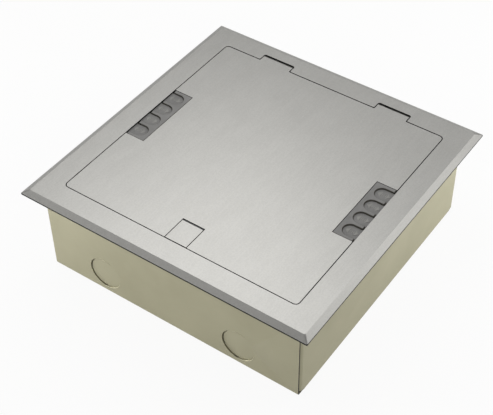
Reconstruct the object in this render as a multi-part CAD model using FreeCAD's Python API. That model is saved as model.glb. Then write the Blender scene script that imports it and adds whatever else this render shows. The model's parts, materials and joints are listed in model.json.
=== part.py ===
import FreeCAD, Part
import math
import os

# Floor socket box, in millimetres.
#
# A folded zinc-plated back box carries a pressed seat frame. The frame holds a bevelled stainless cover and
# a hinged stainless lid, which lies flush in it. The lid has a rocking lift handle at its front edge, and a
# cable outlet with four sliding shutters at its left and right edges. Inside, two rails carry three
# mounting plates with socket modules.
#
# Frame: the origin is the centre of the box's underside, +Z is up, the hinges are at +Y and the lift handle
# at -Y. Every node is modelled in its place, with the lid shut.

# Driving dimensions ------------------------------------------------------------------------------------
COVER = 265.0            # square cover, across its outer edges
COVER_RISE = 2.5         # from the floor line to the cover's flat top
BEVEL = 5.1              # width of the cover's sloping rim, seen from above
SEAL_LIP = 1.0           # rubber lip of the floor seal, under the cover's rim
BOX = 241.0              # square back box, outside
BOX_DEPTH = 82.5         # from the box's underside to the floor line
SHEET = 1.2              # folded zinc-plated steel
LID = 216.6              # square lid
LID_SHEET = 1.0          # its stainless skin
LID_GAP = 0.7            # round the front and sides of the lid
LID_GAP_BACK = 0.9       # more room where the back edge turns
LID_RADIUS = 3.4
LUG_X = 58.0             # centre of each hinge lug, from the middle
LUG_WIDTH = 30.0
LUG_END = 116.2          # back end of the lugs
HINGE_Y = 113.3          # hinge axis
HINGE_Z = 81.6
HINGE_PIN_R = 1.5
HANDLE_WIDTH = 19.5
HANDLE_Y = (-108.1, -86.6)
HANDLE_PIN_Y = -98.0     # axis on which the handle rocks
HANDLE_PIN_Z = 81.0
HANDLE_PIN_R = 1.25
OUTLET_LENGTH = 66.2     # cable outlet, along the lid's edge
OUTLET_INNER = 90.45     # its inboard edge, from the middle of the lid
SHUTTERS = 4
SHUTTER_PITCH = 15.8
SLOT_WIDTH = 12.5        # round-ended cable slot under each shutter
SLOT_END = 94.3          # inboard end of the slot, from the middle of the lid
KNOCKOUT_X = 64.6        # knock-outs in the front and back walls
KNOCKOUT_Z = 21.0
KNOCKOUT_R = 15.0
PLATE_Z = 30.0           # underside of the mounting plates
PLATE_WIDTH = 60.0
PLATE_X = (-62.0, 0.0, 62.0)
MODULE_PITCH = 54.0
FIXING_X = 101.0         # floor fixing holes
FIXING_Y = 85.0
FIXING_R = 3.25

# Worked out from them ----------------------------------------------------------------------------------
COVER_HALF = COVER / 2
TOP = BOX_DEPTH + COVER_RISE
COVER_UNDER = TOP - SHEET            # underside of the cover's flat sheet
BOX_HALF = BOX / 2
BOX_INSIDE = BOX_HALF - SHEET
WALL_TOP = BOX_DEPTH - 0.1
LID_HALF = LID / 2
LID_UNDER = TOP - LID_SHEET
PAN_HALF = 104.0                     # lid pan, outside its rim
PAN_UNDER = LID_UNDER - SHEET
RING_INNER = 105.2                   # seat frame: face of its skirt
RING_WEB = 110.2                     # step between its ledge and its flange
RING_OUTER = 121.5
RING_SHEET = COVER_UNDER - BOX_DEPTH
LEDGE_TOP = COVER_UNDER - 0.9
SKIRT_BOTTOM = 68.0
SCREW_XY = 99.5                      # cover fixing screws, in the corners
LUG_BOTTOM_R = LUG_END - HINGE_Y
MODULE_BODY = 44.6                   # square socket module, below its bezel
MODULE_BEZEL = 50.0
MODULE_TOP = PLATE_Z + 1.5 + 2.0
MODULE_Y = (-MODULE_PITCH, 0.0, MODULE_PITCH)
SHUTTER_Y = [(i - (SHUTTERS - 1) / 2) * SHUTTER_PITCH for i in range(SHUTTERS)]
SIDES = {"left": -1, "right": 1}

V = FreeCAD.Vector
AXES = {"x": V(1, 0, 0), "y": V(0, 1, 0), "z": V(0, 0, 1)}
PLANES = {                           # where (u, v) at a level lies, and the way the level grows
    "plan": (lambda u, v, level: V(u, v, level), AXES["z"]),
    "front": (lambda u, v, level: V(u, level, v), AXES["y"]),
    "side": (lambda u, v, level: V(level, u, v), AXES["x"]),
}


# Shapes that everything is made of ---------------------------------------------------------------------
def outline(corners, plane, level):
    """A closed wire through corners (u, v) or (u, v, radius), with an arc where a radius is given."""
    place = PLANES[plane][0]
    points = [V(c[0], c[1], 0) for c in corners]
    radii = [c[2] if len(c) > 2 else 0 for c in corners]
    joints = []
    for i, corner in enumerate(points):
        if not radii[i]:
            joints.append((corner, None, corner))
            continue
        back = (points[i - 1] - corner).normalize()
        ahead = (points[(i + 1) % len(points)] - corner).normalize()
        half_angle = back.getAngle(ahead) / 2
        reach = radii[i] / math.tan(half_angle)
        centre = corner + (back + ahead).normalize() * (radii[i] / math.sin(half_angle))
        middle = centre + (corner - centre).normalize() * radii[i]
        joints.append((corner + back * reach, middle, corner + ahead * reach))
    edges = []
    for i, (start, middle, end) in enumerate(joints):
        following = joints[(i + 1) % len(joints)][0]
        if middle:
            arc = Part.Arc(*[place(p.x, p.y, level) for p in (start, middle, end)])
            edges.append(arc.toShape())
        if (following - end).Length > 1e-6:
            edges.append(Part.makeLine(place(end.x, end.y, level), place(following.x, following.y, level)))
    return Part.Wire(edges)


def slab(corners, plane, low, high):
    """A solid between two levels, with the same outline all the way."""
    return Part.Face(outline(corners, plane, low)).extrude(PLANES[plane][1] * (high - low))


def rectangle(u, v, radius=0):
    """The corners of a rectangle from its two ranges."""
    return [(u[0], v[0], radius), (u[1], v[0], radius), (u[1], v[1], radius), (u[0], v[1], radius)]


def square(half, radius=0):
    return rectangle((-half, half), (-half, half), radius)


def block(x, y, z):
    return slab(rectangle(x, y), "plan", *z)


def ring(outer, inner, z):
    """A square ring, given half its outer and inner widths."""
    return slab(square(outer), "plan", *z).cut(slab(square(inner), "plan", *z))


def rod(start, radius, length, axis):
    return Part.makeCylinder(radius, length, V(*start), AXES[axis])


def fuse(first, *others):
    return first.multiFuse(list(others)).removeSplitter()


def folded_sheet(path, thickness, bend, plane, levels):
    """Sheet folded along a path that is its right-hand face. Bend is the inside radius, or 0 for a sharp fold."""
    points = [V(u, v, 0) for u, v in path]
    runs = [(b - a).normalize() for a, b in zip(points, points[1:])]
    normals = [V(-run.y, run.x, 0) for run in runs]
    right = []
    left = []
    for i, point in enumerate(points):
        before = normals[max(i - 1, 0)]
        after = normals[min(i, len(normals) - 1)]
        mitre = before + after
        offset = point + mitre * (thickness / mitre.dot(before))
        turn = before.cross(after).z
        outside = bend + thickness if bend else 0
        right_radius = 0 if turn == 0 else (outside if turn > 0 else bend)
        left_radius = 0 if turn == 0 else (bend if turn > 0 else outside)
        right.append((point.x, point.y, right_radius))
        left.append((offset.x, offset.y, left_radius))
    return slab(right + left[::-1], plane, *levels)


def mirrored(half_outline):
    """A whole outline from its right half, which runs from front to back."""
    return half_outline + [(-c[0], *c[1:]) for c in reversed(half_outline)]


def to_side(shape, side):
    """The shape as built for the right-hand side, or its mirror image for the left."""
    return shape if SIDES[side] > 0 else shape.mirror(V(0, 0, 0), AXES["x"])


def to_back(shape):
    return shape.mirror(V(0, 0, 0), AXES["y"])


def hexagon(x, y, radius):
    return [(x + radius * math.cos(math.radians(60 * i)), y + radius * math.sin(math.radians(60 * i)))
            for i in range(6)]


def screw(head_base, head_radius, head_height, shank_radius, length):
    """A hexagon-headed screw driven from above, with its head's underside at the point given."""
    x, y, z = head_base
    head = slab(hexagon(x, y, head_radius), "plan", z, z + head_height)
    return fuse(head, rod((x, y, z - length), shank_radius, length, "z"))


# Back box ----------------------------------------------------------------------------------------------
def knockout_slit(x):
    """The sheared part of a knock-out's edge: an open slit over three eighths of the circle."""
    width = 0.9
    start, sweep = 135, 135
    sector = Part.makeCylinder(KNOCKOUT_R, 2 * SHEET, V(0, 0, 0), V(0, 0, 1), sweep)
    sector = sector.cut(rod((0, 0, 0), KNOCKOUT_R - width, 2 * SHEET, "z"))
    sector.rotate(V(0, 0, 0), AXES["z"], start)
    sector.rotate(V(0, 0, 0), AXES["x"], 90)
    sector.translate(V(x, -BOX_INSIDE + SHEET / 2, KNOCKOUT_Z))
    return sector


def knockout_press(shell, x):
    """Push a knock-out disc inwards by half the sheet, still held by its unsheared edge."""
    push = 0.6 * SHEET
    shell = shell.cut(rod((x, -BOX_HALF, KNOCKOUT_Z), KNOCKOUT_R, push, "y"))
    return shell.fuse(rod((x, -BOX_INSIDE, KNOCKOUT_Z), KNOCKOUT_R, push, "y"))


def box_shell():
    """Front wall, floor and back wall, folded from one sheet that stops short of the side panels."""
    end = BOX_HALF - 1.5
    path = [(-BOX_HALF, WALL_TOP), (-BOX_HALF, 0), (BOX_HALF, 0), (BOX_HALF, WALL_TOP)]
    shell = folded_sheet(path, SHEET, 1.2, "side", (-end, end))
    for x in (-KNOCKOUT_X, KNOCKOUT_X):
        slit = knockout_slit(x)
        shell = knockout_press(shell, x).cut([slit, to_back(slit)])
    for x in (-FIXING_X, FIXING_X):
        for y in (-FIXING_Y, FIXING_Y):
            shell = shell.cut(rod((x, y, 0), FIXING_R, SHEET, "z"))
    return shell.removeSplitter()


def box_side(side):
    """A side panel with flanges folded in behind the front and back walls and over the floor."""
    end = BOX_INSIDE - 0.1
    flange = BOX_HALF - 12
    foot = SHEET + 0.1
    relief = 4.5
    wall_path = [(flange, -end), (BOX_HALF, -end), (BOX_HALF, end), (flange, end)]
    wall = folded_sheet(wall_path, SHEET, 1.2, "plan", (relief, WALL_TOP))
    foot_path = [(flange, foot), (BOX_HALF, foot), (BOX_HALF, relief)]
    base = folded_sheet(foot_path, SHEET, 1.2, "front", (relief - end, end - relief))
    return to_side(fuse(wall, base), side)


def corner_brackets():
    """Four angle brackets in the corners of the box: the cover's fixing screws go into them."""
    reach = 88.0
    back = BOX_INSIDE - 2.6
    path = [(BOX_INSIDE, 45), (BOX_INSIDE, SKIRT_BOTTOM), (reach, SKIRT_BOTTOM)]
    bracket = folded_sheet(path, 1.5, 0, "front", (reach, back))
    lead = slab([(reach, reach), (reach + 9, reach), (reach, reach + 9)], "plan", 60, SKIRT_BOTTOM)
    hole = rod((SCREW_XY, SCREW_XY, 60), 2.55, 10, "z")
    bracket = bracket.cut(lead).cut(hole)
    pair = [bracket, to_side(bracket, "left")]
    return Part.makeCompound(pair + [to_back(b) for b in pair])


def earth_stud():
    """A stud welded to the floor of the box."""
    return rod((-FIXING_X, 0, SHEET), 3.0, 18, "z")


def earth_nut():
    """The nut that clamps the earth leads."""
    nut = slab(hexagon(-FIXING_X, 0, 6), "plan", 6.4, 11.4)
    return nut.cut(rod((-FIXING_X, 0, 6), 3.05, 6, "z"))


# Cover and seat frame ----------------------------------------------------------------------------------
def opening_outline():
    """The lid opening in the cover, with a notch behind each hinge lug."""
    half = LID_HALF + LID_GAP
    back = LID_HALF + LID_GAP_BACK
    notch = LUG_WIDTH / 2 + 0.8
    notch_end = LUG_END + 1.1
    return mirrored([
        (half, -half, LID_RADIUS + LID_GAP),
        (half, back, LID_RADIUS + LID_GAP),
        (LUG_X + notch, back, 1.2),
        (LUG_X + notch, notch_end, 2.0),
        (LUG_X - notch, notch_end, 2.0),
        (LUG_X - notch, back, 1.2),
    ])


def pyramid(low_half, high_half, low, high, radius):
    """A square block whose sides slope."""
    wires = [outline(square(low_half, radius), "plan", low), outline(square(high_half, radius), "plan", high)]
    return Part.makeLoft(wires, True, True)


def cover_trim():
    """The bevelled stainless cover, pressed from sheet, so that it is hollow underneath."""
    slope = math.atan2(COVER_RISE, BEVEL)
    wall = SHEET / math.sin(slope)
    shell = pyramid(COVER_HALF, COVER_HALF - BEVEL, BOX_DEPTH, TOP, 1.3)
    inner_low = COVER_HALF - wall
    inner_high = inner_low - (COVER_UNDER - BOX_DEPTH) / math.tan(slope)
    shell = shell.cut(pyramid(inner_low, inner_high, BOX_DEPTH, COVER_UNDER, 0))
    return shell.cut(slab(opening_outline(), "plan", BOX_DEPTH, TOP))


def floor_seal():
    """A rubber strip in the hollow of the cover, with a lip under its rim, which seals it to the floor."""
    inner = RING_OUTER + 0.3
    lip = ring(COVER_HALF - 0.1, inner, (BOX_DEPTH - SEAL_LIP, BOX_DEPTH))
    return fuse(ring(127.0, inner, (BOX_DEPTH, COVER_UNDER)), lip)


def ring_recesses(z):
    """What is cut out of the seat frame and gasket for the hinges and for the cables."""
    hinge = (LUG_X - 17.8, LUG_X + 17.8)
    cuts = []
    for side in SIDES:
        cuts.append(to_side(block(hinge, (100, 118.2), (79, z[1])), side))
        cuts.append(to_side(block((100, RING_WEB), (-35, 35), z), side))
    return cuts


def seat_frame():
    """The welded ring on the box: a flange under the cover, a ledge for the lid, and a skirt."""
    flange = ring(RING_OUTER, RING_WEB, (BOX_DEPTH, COVER_UNDER))
    web = ring(RING_WEB + 1.3, RING_WEB, (LEDGE_TOP - RING_SHEET, COVER_UNDER))
    ledge = ring(RING_WEB + 1.3, RING_INNER, (LEDGE_TOP - RING_SHEET, LEDGE_TOP))
    skirt = ring(RING_INNER + RING_SHEET, RING_INNER, (SKIRT_BOTTOM, LEDGE_TOP))
    frame = fuse(flange, web, ledge, skirt).cut(ring_recesses((SKIRT_BOTTOM, TOP)))
    near, far = 84.0, RING_INNER + 0.6
    tab = slab([(near, far), (far, near), (far, far)], "plan", SKIRT_BOTTOM, SKIRT_BOTTOM + RING_SHEET)
    slot = block((SCREW_XY - 3.5, SCREW_XY + 3.5), (SCREW_XY - 2.8, SCREW_XY + 2.8), (SKIRT_BOTTOM, SKIRT_BOTTOM + 2))
    tab = tab.cut(slot)
    pair = [tab, to_side(tab, "left")]
    return fuse(frame, *pair, *[to_back(t) for t in pair])


def lid_gasket():
    """A rubber strip on the ledge, under the overhanging rim of the lid and the gap round it."""
    z = (LEDGE_TOP, COVER_UNDER - 0.05)
    return ring(RING_WEB - 0.3, 105.6, z).cut(ring_recesses(z))


def frame_screws():
    """Four screws that hold the seat frame down on the corner brackets."""
    head_z = SKIRT_BOTTOM + RING_SHEET
    places = [(x, y, head_z) for x in (-SCREW_XY, SCREW_XY) for y in (-SCREW_XY, SCREW_XY)]
    return Part.makeCompound([screw(p, 4.6, 3.0, 2.5, 12) for p in places])


def catch_spring(side):
    """A leaf on the front skirt, with a nib that snaps into a window in the lid pan's rim."""
    x = 70.0
    face = -RING_INNER
    path = [(face, 82.6), (face, 81.8), (face + 1.5, 80.4), (face, 79.0), (face, 69.5)]
    leaf = folded_sheet(path[::-1], 0.4, 0, "side", (x - 5, x + 5))
    leaf.translate(V(0, 0.4, 0))
    return to_side(leaf, side)


# Hinges ------------------------------------------------------------------------------------------------
def lug_rounding(width):
    """The waste off the upper back edge of a hinge lug, so that it turns inside its notch."""
    radius = 2.0
    waste = block((LUG_X - width, LUG_X + width), (LUG_END - radius, LUG_END + 1), (TOP - radius, TOP + 1))
    return waste.cut(rod((LUG_X - width, LUG_END - radius, TOP - radius), radius, 2 * width, "x"))


def hinge_lug(side):
    """A cast knuckle under each lug of the lid, with a leaf that runs forward under the lid pan."""
    half = 14.7
    profile = [
        (LUG_END, HINGE_Z),
        (LUG_END, LID_UNDER),
        (PAN_HALF + 0.5, LID_UNDER),
        (PAN_HALF + 0.5, PAN_UNDER),
        (84.0, PAN_UNDER),
        (84.0, PAN_UNDER - 1.5),
        (HINGE_Y - 3.2, PAN_UNDER - 1.5),
        (HINGE_Y, HINGE_Z - LUG_BOTTOM_R / 2),
    ]
    lug = slab(profile, "side", LUG_X - half, LUG_X + half)
    knuckle = rod((LUG_X - half, HINGE_Y, HINGE_Z), LUG_BOTTOM_R, 2 * half, "x")
    above = block((0, COVER_HALF), (HINGE_Y - 5, COVER_HALF), (LID_UNDER, TOP))
    lug = fuse(lug, knuckle).cut([above, lug_rounding(LUG_WIDTH)])
    lug = lug.cut(rod((LUG_X - half, HINGE_Y, HINGE_Z), HINGE_PIN_R + 0.05, 2 * half, "x"))
    return to_side(lug, side)


def hinge_bracket(side):
    """A folded bracket welded behind the skirt: a base, two ears for the pin, and a flange."""
    sheet = 1.5
    ear = LUG_X - 15.9 - sheet, LUG_X + 15.9 + sheet
    base = 75.9
    ear_top = COVER_UNDER - 0.1
    cradle_path = [(ear[0], ear_top), (ear[0], base), (ear[1], base), (ear[1], ear_top)]
    cradle = folded_sheet(cradle_path, sheet, 0, "front", (HINGE_Y - 4, 117.3))
    foot_path = [(117.3, base + sheet), (RING_INNER + RING_SHEET, base + sheet), (RING_INNER + RING_SHEET, 69.0)]
    foot = folded_sheet(foot_path, sheet, 0, "side", (LUG_X - 14, LUG_X + 14))
    pin_hole = rod((LUG_X - 20, HINGE_Y, HINGE_Z), HINGE_PIN_R + 0.02, 40, "x")
    return to_side(fuse(cradle, foot).cut(pin_hole), side)


def hinge_pin(side):
    length = 34.8
    return to_side(rod((LUG_X - length / 2, HINGE_Y, HINGE_Z), HINGE_PIN_R, length, "x"), side)


# Lid ---------------------------------------------------------------------------------------------------
def lid_outline():
    """The lid with its handle cut-out, outlet cut-outs and hinge lugs."""
    lug = LUG_WIDTH / 2
    notch_side = HANDLE_WIDTH / 2 + 0.6
    notch_end = HANDLE_Y[1] + 1.6
    outlet_side = OUTLET_LENGTH / 2 + 0.2
    outlet_end = OUTLET_INNER - 0.25
    return mirrored([
        (notch_side, notch_end),
        (notch_side, -LID_HALF),
        (LID_HALF, -LID_HALF, LID_RADIUS),
        (LID_HALF, -outlet_side),
        (outlet_end, -outlet_side),
        (outlet_end, outlet_side),
        (LID_HALF, outlet_side),
        (LID_HALF, LID_HALF, LID_RADIUS),
        (LUG_X + lug, LID_HALF, 1.0),
        (LUG_X + lug, LUG_END, 2.2),
        (LUG_X - lug, LUG_END, 2.2),
        (LUG_X - lug, LID_HALF, 1.0),
    ])


def lid_plate():
    plate = slab(lid_outline(), "plan", LID_UNDER, TOP)
    waste = lug_rounding(LUG_WIDTH)
    return plate.cut([to_side(waste, side) for side in SIDES])


def lid_pan():
    """The steel tray bonded under the lid plate. Its turned-down rim makes the lid stiff."""
    rim_bottom = 77.0
    pan = slab(square(PAN_HALF), "plan", rim_bottom, LID_UNDER)
    pan = pan.cut(slab(square(PAN_HALF - SHEET), "plan", rim_bottom, PAN_UNDER))
    handle = block((-10.2, 10.2), (-110, HANDLE_Y[1] + 1.4), (rim_bottom, LID_UNDER))
    cuts = [handle]
    for side in SIDES:
        outlet = block((OUTLET_INNER - 13, 110), (-34.9, 34.9), (rim_bottom, LID_UNDER))
        lug = block((LUG_X - 15.3, LUG_X + 15.3), (100, 110), (rim_bottom, PAN_UNDER))
        window = block((62.5, 77.5), (-PAN_HALF - 1, -PAN_HALF + 2), (78.4, 82.4))
        cuts += [to_side(c, side) for c in (outlet, lug, window)]
    return pan.cut(cuts)


def lid_stiffener(side):
    """A top-hat channel under the pan, from the handle to the hinges."""
    sheet = 1.0
    x = 26.0
    top = PAN_UNDER - sheet
    path = [(-14, top), (-8, top), (-7, 77.4), (7, 77.4), (8, top), (14, top)]
    hat = folded_sheet([(x + u, v) for u, v in path], sheet, 0, "front", (-78, 98))
    return to_side(hat, side)


# Lift handle -------------------------------------------------------------------------------------------
def lift_handle():
    """A flush tab on a rocking body: pressing its inboard end raises its front edge."""
    half = HANDLE_WIDTH / 2
    tab = block((-half, half), HANDLE_Y, (LID_UNDER, TOP))
    body_half = 8.6
    profile = [
        (-103.4, LID_UNDER),
        (-103.4, 82.2),
        (-100.4, HANDLE_PIN_Z),
        (-95.6, HANDLE_PIN_Z),
        (-88.0, 83.0),
        (-88.0, LID_UNDER),
    ]
    body = slab(profile, "side", -body_half, body_half)
    barrel = rod((-body_half, HANDLE_PIN_Y, HANDLE_PIN_Z), 2.6, 2 * body_half, "x")
    handle = fuse(tab, body, barrel)
    return handle.cut(rod((-body_half, HANDLE_PIN_Y, HANDLE_PIN_Z), HANDLE_PIN_R + 0.05, 2 * body_half, "x"))


def handle_bracket():
    """A folded cradle under the lid pan, whose two sides carry the handle's pin."""
    ear = 11.3
    base_z = 75.8
    path = [(-19, PAN_UNDER - SHEET), (-ear, PAN_UNDER - SHEET), (-ear, base_z),
            (ear, base_z), (ear, PAN_UNDER - SHEET), (19, PAN_UNDER - SHEET)]
    cradle = folded_sheet(path, SHEET, 0, "front", (-102.4, -91.0))
    return cradle.cut(rod((-20, HANDLE_PIN_Y, HANDLE_PIN_Z), HANDLE_PIN_R + 0.02, 40, "x"))


def handle_pin():
    return rod((-11.2, HANDLE_PIN_Y, HANDLE_PIN_Z), HANDLE_PIN_R, 22.4, "x")


def handle_spring():
    """A leaf on the cradle's base that holds the handle's inboard end up."""
    path = [(-102.0, 77.0), (-95.4, 77.0), (-90.6, 81.6), (-89.0, 81.9)]
    return folded_sheet(path, 0.4, 0, "side", (-3, 3))


# Cable outlets -----------------------------------------------------------------------------------------
CHANNEL_FLOOR = 82.0                 # on which the shutters slide
CHANNEL_WIDTH = SLOT_WIDTH + 1.4
CHANNEL_END = 79.2                   # inboard end of the shutters' channels
LAND_END = 107.6                     # outer edge of the lands between the slots


def cable_slot(y, z):
    """A round-ended slot, open at the lid's edge."""
    radius = SLOT_WIDTH / 2
    centre = SLOT_END + radius
    straight = block((centre, LID_HALF + 5), (y - radius, y + radius), z)
    return straight.fuse(rod((centre, y, z[0]), radius, z[1] - z[0], "z"))


def cable_outlet(side):
    """The moulded insert: a window face with four slots, over channels that run in under the lid plate."""
    half = OUTLET_LENGTH / 2
    floor_under = CHANNEL_FLOOR - SHEET
    face = TOP - 0.1
    base = block((CHANNEL_END - 1.4, LAND_END), (-half, half), (floor_under, LID_UNDER))
    window = block((OUTLET_INNER, LAND_END), (-half, half), (LID_UNDER, face))
    cuts = []
    for y in SHUTTER_Y:
        track = (y - CHANNEL_WIDTH / 2, y + CHANNEL_WIDTH / 2)
        slot = (y - SLOT_WIDTH / 2, y + SLOT_WIDTH / 2)
        cuts.append(block((CHANNEL_END, LAND_END), track, (CHANNEL_FLOOR, LID_UNDER)))
        cuts.append(block((SLOT_END, LAND_END), slot, (floor_under, CHANNEL_FLOOR)))
        cuts.append(cable_slot(y, (LID_UNDER, face)))
    return to_side(fuse(base, window).cut(cuts), side)


def outlet_retainer(side):
    """A folded strap welded under the lid pan, which holds the cable outlet up against the lid plate."""
    under = CHANNEL_FLOOR - SHEET
    path = [(-43, PAN_UNDER - 1), (-35.5, PAN_UNDER - 1), (-35.5, under - 1),
            (35.5, under - 1), (35.5, PAN_UNDER - 1), (43, PAN_UNDER - 1)]
    return to_side(folded_sheet(path, 1.0, 0, "side", (82, 92)), side)


def shutter(side, y):
    """A sliding tongue that closes one cable slot from below."""
    width = CHANNEL_WIDTH - 0.2
    corners = rectangle((92.6, LID_HALF + 0.4), (y - width / 2, y + width / 2))
    return to_side(slab(corners, "plan", CHANNEL_FLOOR + 0.05, LID_UNDER - 0.1), side)


# Socket mounting ---------------------------------------------------------------------------------------
def support_rail(back):
    """A Z-shaped rail across the box that carries the plates. The front one takes their screws, and the
    back one has hooks folded forward over their back ends."""
    top = PLATE_Z - 1.5
    path = [(-112, SHEET), (-98.5, SHEET), (-98.5, top), (-86, top)]
    rail = folded_sheet(path, 1.5, 0, "side", (-92, 92))
    if not back:
        return rail.cut([rod((x, -92, top), 2.05, 3, "z") for x in PLATE_X])
    hook_top = PLATE_Z + 3.0
    profile = [(98.5, top), (100, top), (100, hook_top), (92, hook_top), (92, PLATE_Z + 1.5), (98.5, PLATE_Z + 1.5)]
    hooks = [slab(profile, "side", x - 6, x + 6) for x in PLATE_X]
    return fuse(to_back(rail), *hooks)


def divider(side):
    """A partition on the floor, between the data and the power compartments."""
    path = [(41, SHEET), (31, SHEET), (31, 27.5)]
    return to_side(folded_sheet(path[::-1], SHEET, 0, "front", (-96, 96)), side)


def mounting_plate(x):
    """A flat plate with its module windows and an open screw slot in its front end."""
    half = PLATE_WIDTH / 2
    z = (PLATE_Z, PLATE_Z + 1.5)
    plate = block((x - half, x + half), (-97, 96.8), z)
    side = MODULE_BODY / 2 + 0.15
    if x:
        windows = [(-MODULE_PITCH - side, MODULE_PITCH + side)]
    else:
        windows = [(y - side, y + side) for y in MODULE_Y]
    cuts = [block((x - side, x + side), window, z) for window in windows]
    return plate.cut([*cuts, block((x - 2.3, x + 2.3), (-98, -89.7), z)])


def plate_screws():
    return Part.makeCompound([screw((x, -92, PLATE_Z + 1.5), 4.0, 2.6, 2.0, 9) for x in PLATE_X])


def module_blank(x, y_range, depth):
    """The outside of a socket module: a body through the plate and a wider bezel on top of it."""
    overlap = (MODULE_BEZEL - MODULE_BODY) / 2
    half = MODULE_BEZEL / 2
    plate_top = PLATE_Z + 1.5
    inside = (y_range[0] + overlap, y_range[1] - overlap)
    body = block((x - half + overlap, x + half - overlap), inside, (plate_top - depth, plate_top))
    bezel = block((x - half, x + half), y_range, (plate_top, MODULE_TOP))
    return body.fuse(bezel)


CHAMBER_Z = (10.0, MODULE_TOP - 3.0)  # room for each contact, under its pin slot
BLADE = (8.4, 2.2)                    # slot for a flat pin
PINS = {                              # where each slot lies in its socket, and its turn in degrees
    "line": (4.0, -6.9, -30),
    "neutral": (4.0, 6.9, 30),
    "earth": (-7.6, 0.0, 0),
}


def at_pin(shape, pin):
    """A shape made round a slot at the origin, moved to its pin in the middle socket of the right strip."""
    u, v, turn = PINS[pin]
    placed = shape.copy()
    placed.rotate(V(0, 0, 0), AXES["z"], turn)
    placed.translate(V(PLATE_X[2] + u, v, 0))
    return placed


def power_strip(side):
    """A triple socket for flat pins, moulded in one."""
    long, thick = BLADE
    slot = block((-long / 2, long / 2), (-thick / 2, thick / 2), (CHAMBER_Z[1], MODULE_TOP))
    chamber = block((-long / 2, long / 2), (-2.6, 2.6), CHAMBER_Z)
    cuts = []
    for y in MODULE_Y:
        for pin in PINS:
            for tool in (slot, chamber):
                cut = at_pin(tool, pin)
                cut.translate(V(0, y, 0))
                cuts.append(cut)
    reach = MODULE_PITCH + MODULE_BEZEL / 2
    return to_side(module_blank(PLATE_X[2], (-reach, reach), 24.0).cut(cuts), side)


def contacts(pins):
    """The forks of every socket that serve the pins named: each grips the two faces of a flat pin."""
    low, high = CHAMBER_Z[0] + 0.1, 24.0
    path = [(-1.6, high), (-1.6, low), (1.6, low), (1.6, high)]
    fork = folded_sheet(path, 0.8, 0, "side", (-3, 3))
    forks = []
    for pin in pins:
        for y in MODULE_Y:
            placed = at_pin(fork, pin)
            placed.translate(V(0, y, 0))
            forks += [placed, to_side(placed, "left")]
    return Part.makeCompound(forks)


JACK_PITCH = 21.0


def data_outlet(y):
    """A module frame with two windows for data jacks."""
    x = PLATE_X[1]
    half = MODULE_BEZEL / 2
    module = module_blank(x, (y - half, y + half), 20.0)
    hollow = block((x - 20.3, x + 20.3), (y - 20.3, y + 20.3), (PLATE_Z - 18.5, PLATE_Z + 1.5))
    windows = [block((jack_x - 8.3, jack_x + 8.3), (y - 7.5, y + 7.5), (PLATE_Z, MODULE_TOP))
               for jack_x in (x - JACK_PITCH / 2, x + JACK_PITCH / 2)]
    return module.cut([hollow, *windows])


def data_jacks(side):
    """Three eight-way jacks: each has a rectangular port with a notch for the plug's latch."""
    x = PLATE_X[1] + JACK_PITCH / 2
    floor = MODULE_TOP - 13.3
    jacks = []
    for y in MODULE_Y:
        body = block((x - 8.1, x + 8.1), (y - 7.3, y + 7.3), (12.5, MODULE_TOP - 0.3))
        port = block((x - 5.9, x + 5.9), (y - 3.4, y + 3.4), (floor, MODULE_TOP))
        latch = block((x - 3.1, x + 3.1), (y + 3.4, y + 5.0), (floor, MODULE_TOP))
        jacks.append(to_side(body.cut([port, latch]), side))
    return Part.makeCompound(jacks)


# Every node --------------------------------------------------------------------------------------------
def nodes():
    made = {
        "box_shell": box_shell(),
        "corner_brackets": corner_brackets(),
        "earth_stud": earth_stud(),
        "earth_nut": earth_nut(),
        "cover_trim": cover_trim(),
        "floor_seal": floor_seal(),
        "seat_frame": seat_frame(),
        "lid_gasket": lid_gasket(),
        "frame_screws": frame_screws(),
        "lid_plate": lid_plate(),
        "lid_pan": lid_pan(),
        "lift_handle": lift_handle(),
        "handle_bracket": handle_bracket(),
        "handle_pin": handle_pin(),
        "handle_spring": handle_spring(),
        "support_rail_front": support_rail(back=False),
        "support_rail_back": support_rail(back=True),
        "power_plate_left": mounting_plate(PLATE_X[0]),
        "data_plate": mounting_plate(PLATE_X[1]),
        "power_plate_right": mounting_plate(PLATE_X[2]),
        "plate_screws": plate_screws(),
        "pin_contacts": contacts(("line", "neutral")),
        "earth_contacts": contacts(("earth",)),
    }
    for side in SIDES:
        made["box_side_" + side] = box_side(side)
        made["catch_spring_" + side] = catch_spring(side)
        made["hinge_lug_" + side] = hinge_lug(side)
        made["hinge_bracket_" + side] = hinge_bracket(side)
        made["hinge_pin_" + side] = hinge_pin(side)
        made["lid_stiffener_" + side] = lid_stiffener(side)
        made["cable_outlet_" + side] = cable_outlet(side)
        made["outlet_retainer_" + side] = outlet_retainer(side)
        made["power_strip_" + side] = power_strip(side)
        made["data_jacks_" + side] = data_jacks(side)
        made["divider_" + side] = divider(side)
        for number, y in enumerate(SHUTTER_Y, 1):
            made[f"shutter_{side}_{number}"] = shutter(side, y)
    for number, y in enumerate(MODULE_Y, 1):
        made[f"data_outlet_{number}"] = data_outlet(y)
    return made


os.makedirs("parts", exist_ok=True)
for name, shape in nodes().items():
    shape.exportStep(f"parts/{name}.step")
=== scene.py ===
# %% [markdown]
# # A floor socket box, dressed for its picture
# The metalwork of this box comes ready-made as CAD nodes: a folded back box, a bevelled stainless cover and
# a hinged lid. This lesson gives those nodes their edges and finishes, and adds the small moulded forms that
# are worth more as meshes than as solids: the arrows on the cable shutters, the recesses of the screws, the
# spring wires of the data ports.
#
# All lengths are in metres, +Z is up, the hinges are at +Y and the lift handle is at -Y.

import json
import math

import bmesh
import bpy
import numpy as np
from mathutils import Matrix, Vector


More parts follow.
